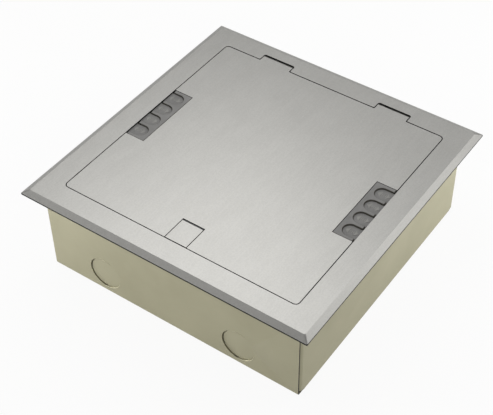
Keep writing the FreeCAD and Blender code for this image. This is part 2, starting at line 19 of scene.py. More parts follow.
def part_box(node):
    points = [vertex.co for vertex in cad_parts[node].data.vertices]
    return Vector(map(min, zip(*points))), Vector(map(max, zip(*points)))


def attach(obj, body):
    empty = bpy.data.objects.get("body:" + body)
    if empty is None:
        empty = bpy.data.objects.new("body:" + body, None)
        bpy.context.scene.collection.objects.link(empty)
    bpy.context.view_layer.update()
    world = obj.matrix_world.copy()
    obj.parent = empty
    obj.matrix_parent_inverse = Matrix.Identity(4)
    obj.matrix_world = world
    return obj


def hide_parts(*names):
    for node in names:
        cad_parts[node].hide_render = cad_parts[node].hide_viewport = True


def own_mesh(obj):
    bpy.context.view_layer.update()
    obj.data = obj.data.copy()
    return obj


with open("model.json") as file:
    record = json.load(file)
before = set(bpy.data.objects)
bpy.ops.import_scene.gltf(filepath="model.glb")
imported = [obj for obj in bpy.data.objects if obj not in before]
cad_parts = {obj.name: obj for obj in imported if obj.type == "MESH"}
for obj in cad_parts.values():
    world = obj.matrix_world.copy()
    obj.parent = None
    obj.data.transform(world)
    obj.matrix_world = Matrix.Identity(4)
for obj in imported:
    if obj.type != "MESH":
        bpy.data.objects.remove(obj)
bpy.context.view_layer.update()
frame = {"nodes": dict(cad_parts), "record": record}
MM = 0.001
nodes = frame["nodes"]

# %% [markdown]
# ## Camera
# A product picture of a low, wide object is taken from well above, with a long lens, so that its edges stay
# nearly parallel. The camera circles a point on the lid: an azimuth counted from -Y towards +X, and an
# elevation above the floor. A small lens shift places the object in the frame without turning the camera,
# which would change how its edges converge.

# %% Place the camera
CAMERA_TARGET = Vector((0.03098, -0.02239, 0.0825))
CAMERA_AZIMUTH = math.radians(33.770)
CAMERA_ELEVATION = math.radians(44.230)
CAMERA_ROLL = math.radians(0.503)
CAMERA_DISTANCE = 0.9225
SENSOR_WIDTH, FOCAL_LENGTH = 36.0, 86.74          # in millimetres
SHIFT_X, SHIFT_Y = -0.0572, -0.0262               # as shares of the sensor's width

camera_data = bpy.data.cameras.new("camera")
camera_data.sensor_width = SENSOR_WIDTH
camera_data.lens = FOCAL_LENGTH
camera_data.shift_x = SHIFT_X
camera_data.shift_y = SHIFT_Y
camera_data.clip_start = 0.01
camera = bpy.data.objects.new("camera", camera_data)
bpy.context.scene.collection.objects.link(camera)
away = Vector((
    math.sin(CAMERA_AZIMUTH) * math.cos(CAMERA_ELEVATION),
    -math.cos(CAMERA_AZIMUTH) * math.cos(CAMERA_ELEVATION),
    math.sin(CAMERA_ELEVATION),
))
camera.location = CAMERA_TARGET + away * CAMERA_DISTANCE
turned = away.to_track_quat("Z", "Y")
camera.rotation_euler = (turned.to_matrix() @ Matrix.Rotation(CAMERA_ROLL, 3, "Z")).to_euler()
bpy.context.scene.camera = camera
bpy.context.scene.view_settings.view_transform = "Standard"
print("camera at", [round(v, 4) for v in camera.location])

# %% [markdown]
# ## Light, floor and background
# Sheet metal shows what stands round it, so the light is made of soft surfaces that hang close by. The largest
# share of what the lid mirrors comes from the softbox over its left side, so that the top is bright at the
# front and falls off towards the hinges. Three smaller ones hang behind, and give each slope of the cover a
# tone of its own. A weak one at the front left keeps that end of the front slope from going dark. Two stand
# low beside the box and light its walls. Their tops stay below the lid's top, which would otherwise mirror
# them in full when it is seen from low down.
#
# The paper and the world are white to the camera. In reflections the world is palest at the horizon and turns
# grey overhead, as a studio's ceiling does, and it is dimmer at the back left, where the lid would otherwise
# mirror it flat and pale.

# %% Lamps
def softbox(name, centre, aim, size, watts):
    """An area lamp of the given width and height, which faces the point it is aimed at."""
    data = bpy.data.lights.new(name, "AREA")
    data.shape = "RECTANGLE"
    data.size, data.size_y = size
    data.energy = watts
    lamp = bpy.data.objects.new(name, data)
    lamp.location = centre
    lamp.rotation_euler = (Vector(centre) - Vector(aim)).to_track_quat("Z", "Y").to_euler()
    bpy.context.scene.collection.objects.link(lamp)
    return lamp


LID_CENTRE = (0.0, 0.0, 0.08)
SOFTBOXES = [                                     # name, centre, aim, (width, height), watts
    ("over", (-0.275, 0.125, 0.775), LID_CENTRE, (0.7, 0.62), 1.75),
    ("back", (0.0, 0.557, 0.582), LID_CENTRE, (0.5, 0.5), 0.29),
    ("back_left", (-0.394, 0.394, 0.582), LID_CENTRE, (0.5, 0.5), 0.23),
    ("back_right", (0.394, 0.394, 0.582), LID_CENTRE, (0.5, 0.5), 0.82),
    ("front_left", (-0.42, -0.34, 0.48), (-0.13, -0.13, 0.08), (0.25, 0.25), 0.09),
    ("low_left", (-0.52, -0.36, 0.044), (-0.10, -0.10, 0.035), (0.5, 0.078), 3.0),
    ("low_right", (0.40, 0.45, 0.042), (0.12, 0.14, 0.03), (0.34, 0.075), 2.1),
]
for place, centre, aim, size, watts in SOFTBOXES:
    softbox("softbox_" + place, centre, aim, size, watts)

# %% [markdown]
# ## Helpers for materials
# A colour is written as the sRGB hex that the eye would match, and one function turns it to linear light.
# Another adds a shader node with its settings and links, so that each material below reads as a short list.
# Most finishes are two close tones of one colour, mixed by a soft noise.

# %% Colours and shader nodes
def linear(hex_colour):
    """sRGB hex to linear RGBA: c / 12.92 below 0.04045, else ((c + 0.055) / 1.055) to the power 2.4."""
    c = np.array([int(hex_colour[i:i + 2], 16) for i in (1, 3, 5)]) / 255
    rgb = np.where(c <= 0.04045, c / 12.92, ((c + 0.055) / 1.055) ** 2.4)
    return (*(float(v) for v in rgb), 1.0)


def add(tree, kind, inputs=None, **settings):
    """Adds a shader node. Inputs are values or the output sockets that feed them."""
    made = tree.nodes.new("ShaderNode" + kind)
    for name, value in settings.items():
        setattr(made, name, value)
    for key, value in (inputs or {}).items():
        if isinstance(value, bpy.types.NodeSocket):
            tree.links.new(value, made.inputs[key])
        else:
            made.inputs[key].default_value = value
    return made


def material(name):
    """A new material with an empty node tree."""
    made = bpy.data.materials.new(name)
    made.use_nodes = True
    made.node_tree.nodes.clear()
    return made, made.node_tree


def finish_surface(tree, shader):
    """Ends a material: the shader's output becomes its surface."""
    add(tree, "OutputMaterial", {"Surface": shader})


def two_tones(tree, value, dark, light, low, high):
    """The dark colour up to the value low, the light one from the value high, and a mix of them between."""
    ramp = add(tree, "ValToRGB", {"Fac": value})
    for stop, position, colour in zip(ramp.color_ramp.elements, (low, high), (dark, light)):
        stop.position, stop.color = position, linear(colour)
    return ramp.outputs[0]


print("mid grey in linear light:", [round(v, 3) for v in linear("#808080")])

# %% Floor, background and world
SEEN_SHINE = 0.92                                 # share of pure white that the camera sees
NEAR_SHINE, FAR_SHINE = 0.5, 0.05                 # shares of pure white that the steel mirrors
BEHIND = (0.6, 1.0, 0.0)                          # towards the back right
FADE_FROM, FADE_TO = 0.2, 0.45                    # values of a place's dot product with BEHIND


def paper_white():
    """Matt studio paper that also shines a little, so that it is white and still keeps a shadow.

    The camera sees it shine at SEEN_SHINE. In a mirror its shine falls from NEAR_SHINE to FAR_SHINE behind the
    box.
    """
    made, tree = material("studio_paper")
    matt = add(tree, "BsdfDiffuse", {"Color": linear("#F4F4F2")})
    glow = add(tree, "Emission", {"Color": (1, 1, 1, 1), "Strength": 1.0})
    path = add(tree, "LightPath")
    mirrored = add(tree, "Math", {
        0: path.outputs["Is Glossy Ray"], 1: path.outputs["Is Transmission Ray"],
    }, operation="MAXIMUM")
    place = add(tree, "TexCoord").outputs["Object"]
    behind = add(tree, "VectorMath", {0: place, 1: BEHIND}, operation="DOT_PRODUCT")
    shine = add(tree, "MapRange", {
        "Value": behind.outputs["Value"], "From Min": FADE_FROM, "From Max": FADE_TO,
        "To Min": NEAR_SHINE, "To Max": FAR_SHINE,
    })
    mirrored = add(tree, "Math", {0: mirrored.outputs[0], 1: shine.outputs[0]}, operation="MULTIPLY")
    direct = add(tree, "Math", {0: path.outputs["Is Camera Ray"], 1: SEEN_SHINE}, operation="MULTIPLY")
    share = add(tree, "Math", {0: mirrored.outputs[0], 1: direct.outputs[0]}, operation="MAXIMUM")
    mix = add(tree, "MixShader", {"Fac": share.outputs[0], 1: matt.outputs[0], 2: glow.outputs[0]})
    finish_surface(tree, mix.outputs[0])
    return made


# The world's levels of grey, each after the sine of its height above the horizon.
DIM_QUARTER = ((0.02, 0.8), (0.18, 0.38), (0.55, 0.3), (0.85, 0.15))
BRIGHT_SIDES = ((0.02, 0.95), (0.3, 0.85), (0.7, 0.6), (0.95, 0.2))
BRIGHT_WAY = (0.707, -0.707, 0)                   # towards the front right, a unit long
BLEND = 0.3                                       # the two mix where BRIGHT_WAY's share is within this of 0


def plain_world():
    """White to the camera. To other rays BRIGHT_SIDES at the front right, and DIM_QUARTER at the back left."""
    world = bpy.data.worlds.new("studio")
    world.use_nodes = True
    tree = world.node_tree
    tree.nodes.clear()
    direction = add(tree, "TexCoord").outputs["Generated"]
    up = add(tree, "SeparateXYZ", {0: direction}).outputs["Z"]
    halves = []
    for levels in (DIM_QUARTER, BRIGHT_SIDES):
        tone = add(tree, "ValToRGB", {"Fac": up})
        while len(tone.color_ramp.elements) < len(levels):
            tone.color_ramp.elements.new(0.5)
        for stop, (height, level) in zip(tone.color_ramp.elements, levels):
            stop.position, stop.color = height, (level, level, level, 1)
        halves.append(tone.outputs[0])
    ahead = add(tree, "VectorMath", {0: direction, 1: BRIGHT_WAY}, operation="DOT_PRODUCT")
    side = add(tree, "MapRange", {"Value": ahead.outputs["Value"], "From Min": -BLEND, "From Max": BLEND})
    sky = add(tree, "MixRGB", {"Fac": side.outputs[0], "Color1": halves[0], "Color2": halves[1]})
    fill = add(tree, "Background", {"Color": sky.outputs[0], "Strength": 1.0})
    white = add(tree, "Background", {"Color": (1, 1, 1, 1), "Strength": 1.0})
    camera_ray = add(tree, "LightPath").outputs["Is Camera Ray"]
    mix = add(tree, "MixShader", {"Fac": camera_ray, 1: fill.outputs[0], 2: white.outputs[0]})
    add(tree, "OutputWorld", {"Surface": mix.outputs[0]})
    bpy.context.scene.world = world


def mesh_object(name, vertices, faces):
    """A mesh object at the origin, from arrays of corners and of the corners of each face."""
    mesh = bpy.data.meshes.new(name)
    mesh.from_pydata(np.asarray(vertices, float).tolist(), [], [list(map(int, f)) for f in faces])
    mesh.update()
    made = bpy.data.objects.new(name, mesh)
    bpy.context.scene.collection.objects.link(made)
    return made


FLOOR_REACH = 6.0
FLOOR_DROP = 0.2 * MM                             # keeps the paper clear of the box's underside
floor_corners = [(FLOOR_REACH * x, FLOOR_REACH * y, 0) for x, y in ((-1, -1), (1, -1), (1, 1), (-1, 1))]
floor = mesh_object("floor", floor_corners, [(0, 1, 2, 3)])
floor.location.z = -FLOOR_DROP
floor.data.materials.append(paper_white())
plain_world()
print("floor:", floor.dimensions[:])

# %% [markdown]
# ## Brushed stainless steel
# The cover, the lid and its handle are stainless sheet, ground with a belt in one direction, from the hinges
# to the handle. The belt leaves fine scratches: they spread a reflection sideways and draw faint light and
# dark lines, over soft clouds where it pressed harder. Real scratches are 0.05 to 0.2 mm wide. Here they are
# drawn 0.35 mm wide, because finer ones would not show. The slope round the cover gets a copy of the finish
# with tones painted a little darker, painted shade for a slope that takes less light than the top.

# %% Brushed stainless steel
SCRATCH = (0.35 * MM, 14 * MM, 2 * MM)            # sizes along x, y and z
CLOUD = (11 * MM, 26 * MM, 11 * MM)
STEEL_GRAIN = 1.1 * MM                            # the same along all three


def brushed_stainless(name, dark, light):
    """Sheet ground along y. Scratches, faint clouds and grain add up to its tone, and scratches roughen it."""
    made, tree = material(name)
    place = add(tree, "TexCoord").outputs["Object"]
    along = add(tree, "Mapping", {"Vector": place, "Scale": tuple(1 / size for size in SCRATCH)})
    fine = add(tree, "TexNoise", {"Vector": along.outputs[0], "Scale": 1.0, "Detail": 3.0, "Roughness": 0.6})
    cloud_map = add(tree, "Mapping", {"Vector": place, "Scale": tuple(1 / size for size in CLOUD)})
    clouds = add(tree, "TexNoise", {"Vector": cloud_map.outputs[0], "Scale": 1.0, "Detail": 1.0})
    grain = add(tree, "TexNoise", {"Vector": place, "Scale": 1 / STEEL_GRAIN, "Detail": 1.0})
    faint = add(tree, "Math", {0: clouds.outputs[0], 1: 0.4, 2: 0.3}, operation="MULTIPLY_ADD")
    both = add(tree, "Math", {0: fine.outputs[0], 1: faint.outputs[0]}, operation="ADD")
    three = add(tree, "Math", {0: both.outputs[0], 1: grain.outputs[0]}, operation="ADD")
    mean = add(tree, "Math", {0: three.outputs[0], 1: 3.0}, operation="DIVIDE")
    tone = two_tones(tree, mean.outputs[0], dark, light, 0.42, 0.58)
    rough = add(tree, "MapRange", {
        "Value": fine.outputs[0], "From Min": 0.3, "From Max": 0.7, "To Min": 0.35, "To Max": 0.39,
    })
    bump = add(tree, "Bump", {"Height": fine.outputs[0], "Strength": 0.08, "Distance": 0.02 * MM})
    steel = add(tree, "BsdfPrincipled", {
        "Base Color": tone, "Metallic": 1.0, "Roughness": rough.outputs[0], "Normal": bump.outputs[0],
    })
    finish_surface(tree, steel.outputs[0])
    return made


stainless = brushed_stainless("brushed_stainless_steel", "#BBBAB6", "#C4C3BF")
# The slope's copy is painted darker, as painted shade.
stainless_slope_shaded = brushed_stainless("brushed_stainless_slope_painted_shade", "#B1B0AC", "#B9B8B4")
print("materials:", stainless.name, stainless_slope_shaded.name)

# %% [markdown]
# ## Zinc-plated steel
# The back box is mild steel, folded and then zinc plated. A yellow passivation over the zinc gives it the
# colour of pale olive, duller than bare zinc, with soft clouds where the bath took differently. The inner
# parts are bright zinc without the yellow. Spring steel, brass and gilt wire are smooth metal with a fine
# grain too, so the same function makes them.

# %% Zinc-plated steel
def smooth_metal(name, dark, light, roughness, cloud):
    """Smooth sheet or wire: two tones mixed by soft clouds of the given size, and a fine grain."""
    made, tree = material(name)
    place = add(tree, "TexCoord").outputs["Object"]
    clouds = add(tree, "TexNoise", {"Vector": place, "Scale": 1 / cloud, "Detail": 4.0, "Roughness": 0.55})
    tone = two_tones(tree, clouds.outputs[0], dark, light, 0.3, 0.7)
    grain = add(tree, "TexNoise", {"Vector": place, "Scale": 1 / (0.7 * MM), "Detail": 2.0})
    rough = add(tree, "MapRange", {
        "Value": grain.outputs[0], "To Min": roughness - 0.05, "To Max": roughness + 0.05,
    })
    bump = add(tree, "Bump", {"Height": grain.outputs[0], "Strength": 0.12, "Distance": 0.02 * MM})
    metal = add(tree, "BsdfPrincipled", {
        "Base Color": tone, "Metallic": 0.55, "Roughness": rough.outputs[0], "Normal": bump.outputs[0],
    })
    finish_surface(tree, metal.outputs[0])
    return made


yellow_zinc = smooth_metal("yellow_passivated_zinc", "#A19D84", "#AAA68D", 0.5, 60 * MM)
# Lighter than the walls: a painted highlight along the knock-out lips.
yellow_zinc_lip_highlight = smooth_metal("yellow_zinc_lip_painted_highlight", "#C2BEA2", "#CCC8AE", 0.35, 60 * MM)
bright_zinc = smooth_metal("bright_zinc", "#A9ACAE", "#BCBFC1", 0.38, 30 * MM)
spring_steel = smooth_metal("tempered_spring_steel", "#6E7276", "#83888C", 0.3, 10 * MM)
contact_brass = smooth_metal("contact_brass", "#B89B55", "#C8AC66", 0.32, 10 * MM)
gilt = smooth_metal("gilt_spring_wire", "#D9B45A", "#E2C06A", 0.25, 4 * MM)
smooth_metals = (yellow_zinc, yellow_zinc_lip_highlight, bright_zinc, spring_steel, contact_brass, gilt)
print("smooth metal finishes:", [made.name for made in smooth_metals])

# %% [markdown]
# ## Moulded plastics and rubber
# The cable outlets and their shutters are grey ABS with a fine spark-eroded grain from the mould. The socket
# faces are smoother white polycarbonate, and the data jacks black ABS. The seals are extruded EPDM rubber. The
# shutters' raised arrows are a little smoother than the rest, and a little lighter, a painted highlight on their
# tops.

# %% Plastics and rubber
def moulded(name, dark, light, roughness, grain_size, grain_depth, specular=0.5):
    """A moulded part: an even colour, and a grain that was eroded into the mould."""
    made, tree = material(name)
    place = add(tree, "TexCoord").outputs["Object"]
    grain = add(tree, "TexNoise", {"Vector": place, "Scale": 1 / grain_size, "Detail": 2.0, "Roughness": 0.5})
    patches = add(tree, "TexNoise", {"Vector": place, "Scale": 1 / (9 * MM), "Detail": 2.0})
    tone = two_tones(tree, patches.outputs[0], dark, light, 0.3, 0.7)
    rough = add(tree, "MapRange", {
        "Value": grain.outputs[0], "To Min": roughness - 0.06, "To Max": roughness + 0.06,
    })
    bump = add(tree, "Bump", {"Height": grain.outputs[0], "Strength": 0.25, "Distance": grain_depth})
    body = add(tree, "BsdfPrincipled", {
        "Base Color": tone, "Roughness": rough.outputs[0], "Normal": bump.outputs[0],
        "Specular IOR Level": specular,
    })
    finish_surface(tree, body.outputs[0])
    return made


grey_abs = moulded("grey_abs", "#807F7D", "#898886", 0.5, 0.5 * MM, 0.03 * MM)
white_pc = moulded("white_polycarbonate", "#E4E3DC", "#EAE9E3", 0.3, 0.8 * MM, 0.01 * MM)
black_abs = moulded("black_abs", "#26272A", "#2D2E31", 0.45, 0.5 * MM, 0.02 * MM)
epdm = moulded("epdm_rubber", "#121213", "#181819", 0.75, 0.6 * MM, 0.03 * MM, specular=0.25)
# Lighter than the grey ABS: a painted highlight on the arrows.
relief_highlight_abs = moulded("grey_abs_relief_painted_highlight", "#8D8C88", "#969591", 0.42, 0.5 * MM, 0.02 * MM)
print("moulded finishes:", [made.name for made in (grey_abs, white_pc, black_abs, epdm, relief_highlight_abs)])

# %% [markdown]
# ## Cut edges, painted dark for shade
# Sheet is sheared or punched, and its cut edges stay rough and dull. Down in a gap of less than a millimetre
# they and the sides of a moulded slot lie in shade, and that shade is painted into their colour, nearly black
# for steel. So sheared stainless, sheared zinc plate, the sides of a moulded slot and the slot's corners each
# get a finish of their own, in painted shade.

# %% Cut edges with painted shade
def painted_shade_edge(name, colour, metallic):
    """A torn edge down in a gap: one dark colour that is painted shade, with a coarse bump."""
    made, tree = material(name)
    place = add(tree, "TexCoord").outputs["Object"]
    tearing = add(tree, "TexNoise", {"Vector": place, "Scale": 1 / (0.4 * MM), "Detail": 2.0})
    bump = add(tree, "Bump", {"Height": tearing.outputs[0], "Strength": 0.4, "Distance": 0.03 * MM})
    edge = add(tree, "BsdfPrincipled", {
        "Base Color": linear(colour), "Metallic": metallic, "Roughness": 0.7, "Normal": bump.outputs[0],
    })
    finish_surface(tree, edge.outputs[0])
    return made


# Near black: painted shade in the gaps round the lid, the handle and the cover's opening, and under the cover's
# rim.
sheared_steel_shade = painted_shade_edge("sheared_steel_edge_painted_shade", "#1B1A19", 0.3)
# Painted shade on the sides of the cable slots and in the shutters' grooves, darker still on the rounded edges.
slot_side_shade = painted_shade_edge("moulded_slot_side_painted_shade", "#6E6B63", 0.0)
slot_corner_shade = painted_shade_edge("moulded_slot_corner_painted_shade", "#4E4C46", 0.0)
# Painted shade for the dark seam where the shell's cut ends meet its sides.
sheared_zinc_shade = painted_shade_edge("sheared_zinc_edge_painted_shade", "#35332D", 0.3)
print("edge finishes:", [made.name for made in (sheared_steel_shade, slot_side_shade, slot_corner_shade, sheared_zinc_shade)])

# %% [markdown]
# ## Edge radii
# A solid modeller gives knife edges. Real sheet and mouldings have a small radius on every edge, and it is the
# radius that catches the light. So a copy is made of every node but the shutters and the screws, which are made
# anew further down. Its loose triangles are merged, flat neighbours are joined into whole faces, and a Bevel
# modifier rounds what is left. The copy then stands for the node. A function can pick out faces that take
# another finish, such as those of a cut edge.

# %% Rounded copies of the CAD nodes
MERGE_GAP = 0.002 * MM
CUT_REACH = 119 * MM                              # the lid's gaps lie nearer to the middle than this
SHELL_END = 118 * MM                              # the shell's sheared ends lie farther out than this


def upright_inside(normals, centres):
    """1 for a face whose normal rises by less than 0.3, within CUT_REACH of the middle in both x and y."""
    return ((np.abs(normals[:, 2]) < 0.3) & (np.abs(centres[:, :2]).max(axis=1) < CUT_REACH)).astype(int)


def cover_faces(normals, centres):
    """As upright_inside, and 2 for the sloping rim, whose normals rise by 0.5 to 0.97."""
    slope = (normals[:, 2] > 0.5) & (normals[:, 2] < 0.97)
    return np.where(slope, 2, upright_inside(normals, centres))


def sheared_ends(normals, centres):
    """1 for a face turned along x and beyond SHELL_END: the shell's two cut ends."""
    return ((np.abs(normals[:, 0]) > 0.9) & (np.abs(centres[:, 0]) > SHELL_END)).astype(int)


def rounded_copy(node, width, finish, body, choose=None, other_finishes=(), radius_finish=-1):
    """A copy of a CAD node whose edges get a radius of the given width.

    Edges sharper than 30 degrees are rounded, or than 40 where choose is given. choose(normals, centres) gives
    the number of each face's finish: 0 is the node's own. radius_finish is the number that the rounded edges
    get, or -1 for that of the faces beside them.
    """
    mesh = bpy.data.meshes.new(node + "_finished")
    shape = bmesh.new()
    shape.from_mesh(nodes[node].data)
    bmesh.ops.remove_doubles(shape, verts=shape.verts, dist=MERGE_GAP)
    bmesh.ops.dissolve_limit(shape, angle_limit=math.radians(0.5), verts=shape.verts, edges=shape.edges)
    shape.to_mesh(mesh)
    shape.free()
    mesh.materials.clear()
    for one in (finish, *other_finishes):
        mesh.materials.append(one)
    count = len(mesh.polygons)
    if choose:
        normals, centres = np.empty(count * 3), np.empty(count * 3)
        mesh.polygons.foreach_get("normal", normals)
        mesh.polygons.foreach_get("center", centres)
        mesh.polygons.foreach_set("material_index", choose(normals.reshape(-1, 3), centres.reshape(-1, 3)))
    mesh.polygons.foreach_set("use_smooth", [True] * count)
    mesh.set_sharp_from_angle(angle=math.radians(30))
    piece = bpy.data.objects.new(mesh.name, mesh)
    bpy.context.scene.collection.objects.link(piece)
    edge = piece.modifiers.new("edge_radius", "BEVEL")
    edge.width = width
    edge.segments = 2
    edge.limit_method = "ANGLE"
    edge.angle_limit = math.radians(40 if choose else 30)
    edge.use_clamp_overlap = True
    edge.harden_normals = True
    edge.material = radius_finish
    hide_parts(node)
    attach(piece, body)
    return piece


SLOT_OF = {row["node"]: row["material_slot"] for row in frame["record"]["subparts"]}
FINISHES = {
    "stainless": stainless, "zinc_yellow": yellow_zinc, "zinc_bright": bright_zinc, "steel_fixings": bright_zinc,
    "spring_steel": spring_steel, "grey_plastic": grey_abs, "white_plastic": white_pc,
    "dark_plastic": black_abs, "rubber": epdm, "brass": contact_brass,
}
BODY_OF = {n: body for body, members in frame["record"]["behaviour"]["bodies"].items() for n in members}
PLAIN_RADIUS = 0.12                               # edge radii, in millimetres
EDGE_RADIUS = {
    "cover_trim": 0.35, "lid_plate": 0.4, "lift_handle": 0.3, "box_shell": 0.15, "box_side_left": 0.15,
    "box_side_right": 0.15, "cable_outlet_left": 0.3, "cable_outlet_right": 0.3, "lid_pan": 0.3,
    "power_strip_left": 0.3, "power_strip_right": 0.3, "data_outlet_1": 0.4, "data_outlet_2": 0.4,
    "data_outlet_3": 0.4, "seat_frame": 0.25,
}
# Faces that take finishes painted dark for shade: cut edges and slot sides in gaps, edge radii beside them, and
# the cover's slope.
PAINTED_SHADE_FACES = {
    "cover_trim": (cover_faces, (sheared_steel_shade, stainless_slope_shaded), 1),
    "lid_plate": (upright_inside, (sheared_steel_shade,), 1),
    "lift_handle": (upright_inside, (sheared_steel_shade,), 1),
    "cable_outlet_left": (upright_inside, (slot_side_shade, slot_corner_shade), 2),
    "cable_outlet_right": (upright_inside, (slot_side_shade, slot_corner_shade), 2),
    "box_shell": (sheared_ends, (sheared_zinc_shade,)),
}
SHUTTERS_PER_SIDE = 4
MADE_ANEW = {f"shutter_{side}_{i}" for side in ("left", "right") for i in range(1, SHUTTERS_PER_SIDE + 1)}
MADE_ANEW |= {"frame_screws", "plate_screws"}
finished = {}
for node in sorted(set(nodes) - MADE_ANEW):
    width = EDGE_RADIUS.get(node, PLAIN_RADIUS) * MM
    finish = FINISHES[SLOT_OF[node]]
    finished[node] = rounded_copy(node, width, finish, BODY_OF[node], *PAINTED_SHADE_FACES.get(node, ()))
print("finished pieces:", len(finished))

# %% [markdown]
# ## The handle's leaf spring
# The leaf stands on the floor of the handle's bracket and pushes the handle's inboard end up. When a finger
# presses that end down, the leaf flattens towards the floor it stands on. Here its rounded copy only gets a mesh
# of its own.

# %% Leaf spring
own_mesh(finished["handle_spring"])

# %% [markdown]
# ## The seal's lip, lowered to widen its black line
# The rubber seal under the cover's rim is soft and shows as a black line round the box. Its lip is moved a
# little lower than its working height, so that the line is wider and also stands for the shade under the rim.

# %% Floor seal
# How far the lip is lowered, to widen the black line as painted shade.
SEAL_SHADE_DROP = 0.6 * MM
seal_mesh = finished["floor_seal"].data
seal_corners = np.empty(len(seal_mesh.vertices) * 3)
seal_mesh.vertices.foreach_get("co", seal_corners)
seal_corners = seal_corners.reshape(-1, 3)
seal_bottom = seal_corners[:, 2].min()
seal_corners[seal_corners[:, 2] < seal_bottom + 0.01 * MM, 2] -= SEAL_SHADE_DROP
seal_mesh.vertices.foreach_set("co", seal_corners.ravel())
print("seal's lip from", round(float(seal_bottom - SEAL_SHADE_DROP), 5), "m up")

# %% [markdown]
# ## Skins from rings
# Small moulded and turned forms are stacks of rings. Each ring is an outline drawn round the piece at one
# height, all have the same number of points, and a skin of four-sided faces joins each ring to the next. The
# first and last ring are closed with one flat face. An outline may shrink, grow or change its shape from ring
# to ring, which gives chamfers, steps and recesses.

# %% Skins
def skin(rings):
    """Rings of shape (k, n, 3), each anticlockwise from above and lowest first, to corners and faces."""
    rings = np.asarray(rings, float)
    count, n, _ = rings.shape
    here = np.arange(n)
    after = (here + 1) % n
    low = np.arange(count - 1)[:, None] * n
    walls = np.stack([low + here, low + after, low + n + after, low + n + here], axis=-1).reshape(-1, 4)
    caps = [here[::-1].tolist(), ((count - 1) * n + here).tolist()]
    return rings.reshape(-1, 3), walls.tolist() + caps


def joined(parts):
    """Several (corners, faces) pairs as one, by adding the corners that come before to each face's numbers."""
    starts = np.cumsum([0] + [len(corners) for corners, _ in parts])
    corners = np.concatenate([corners for corners, _ in parts])
    faces = [[start + i for i in face] for start, (_, rows) in zip(starts, parts) for face in rows]
    return corners, faces


def new_piece(name, groups, body, replaced=None):
    """A piece from groups of (corners in millimetres, faces, finish or list of one finish per face)."""
    corners, faces = joined([(c, f) for c, f, _ in groups])
    made = mesh_object(name, corners * MM, faces)
    finishes = []
    for _, rows, finish in groups:
        finishes += finish if isinstance(finish, list) else [finish] * len(rows)
    used = list(dict.fromkeys(finishes))
    for finish in used:
        made.data.materials.append(finish)
    made.data.polygons.foreach_set("material_index", [used.index(finish) for finish in finishes])
    made.data.polygons.foreach_set("use_smooth", [True] * len(made.data.polygons))
    made.data.set_sharp_from_angle(angle=math.radians(35))
    if replaced:
        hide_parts(replaced)
    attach(made, body)
    return made


unit_square = np.array([(-1, -1, 0), (1, -1, 0), (1, 1, 0), (-1, 1, 0)], float)
print("a cube's skin has", len(skin([unit_square, unit_square + (0, 0, 2)])[1]), "faces")

# %% [markdown]
# ## Shutters
# Each cable slot is closed by a moulded tongue that slides in under the lid. Its thin plate runs in a channel,
# and an island on the plate fills the round-ended slot, with a groove round it. A two-way arrow is raised on
# the island, to show which way it slides. The island stands off the middle of its slot, so the groove is wide
# round the tip and along one side, and only a running clearance along the other. The two outlets are one
# moulding turned round: the wide side is the back one at the right, and the front one at the left.

# %% Shutters
def tongue_outline(inset, tip, end, half, middle):
    """A straight-sided tongue with a half-round tip, drawn in by an inset: n points, anticlockwise."""
    radius = half - inset
    centre = tip + half
    turn = np.linspace(math.pi / 2, 3 * math.pi / 2, 33)
    arc = np.stack([centre + radius * np.cos(turn), middle + radius * np.sin(turn)], axis=1)
    outer = np.array([(end - inset, middle - radius), (end - inset, middle + radius)])
    return np.concatenate([outer, arc])


def polygon_outline(inset, points):
    """A convex outline drawn in towards its middle, each point by about the inset."""
    points = np.asarray(points, float)
    middle = points.mean(axis=0)
    away_from_middle = points - middle
    return points - away_from_middle / np.linalg.norm(away_from_middle, axis=1, keepdims=True) * inset


def terraces(outline, profile, **shape):
    """The skin of an outline that is drawn in by each of a profile's insets, at that row's height."""
    rings = []
    for inset, height in profile:
        flat = outline(inset, **shape)
        rings.append(np.column_stack([flat, np.full(len(flat), height)]))
    return skin(rings)


ISLAND_TOP = 83.68
ARROW_TOP = 83.93
PLATE_PROFILE = [(0.3, 82.05), (0.0, 82.35), (0.0, 82.8), (0.3, 83.1)]
ISLAND_PROFILE = [(0.0, 82.9), (0.0, ISLAND_TOP - 0.12), (0.04, ISLAND_TOP - 0.04), (0.12, ISLAND_TOP)]
RELIEF_PROFILE = [(0.0, ISLAND_TOP - 0.2), (0.0, ARROW_TOP - 0.12), (0.12, ARROW_TOP)]
SLOT_TIP, SLOT_HALF = 94.3, 6.25
GROOVE, CLEARANCE = 0.35, 0.12
ISLAND_END = 108.9
PLATE_START, PLATE_END, PLATE_HALF = 92.6, 108.7, 6.85


def bar(start, end, half):
    """A bar across the tongue: a rectangle from start to end in x, and within half of the middle in y."""
    return [(start, -half), (end, -half), (end, half), (start, half)]


ARROW = [
    [(96.4, 0.0), (99.6, -3.2), (99.6, 3.2)],
    *(bar(start, start + 0.8, 1.3) for start in (100.2, 101.7, 103.2)),
    [(104.5, -3.2), (107.3, 0.0), (104.5, 3.2)],
]


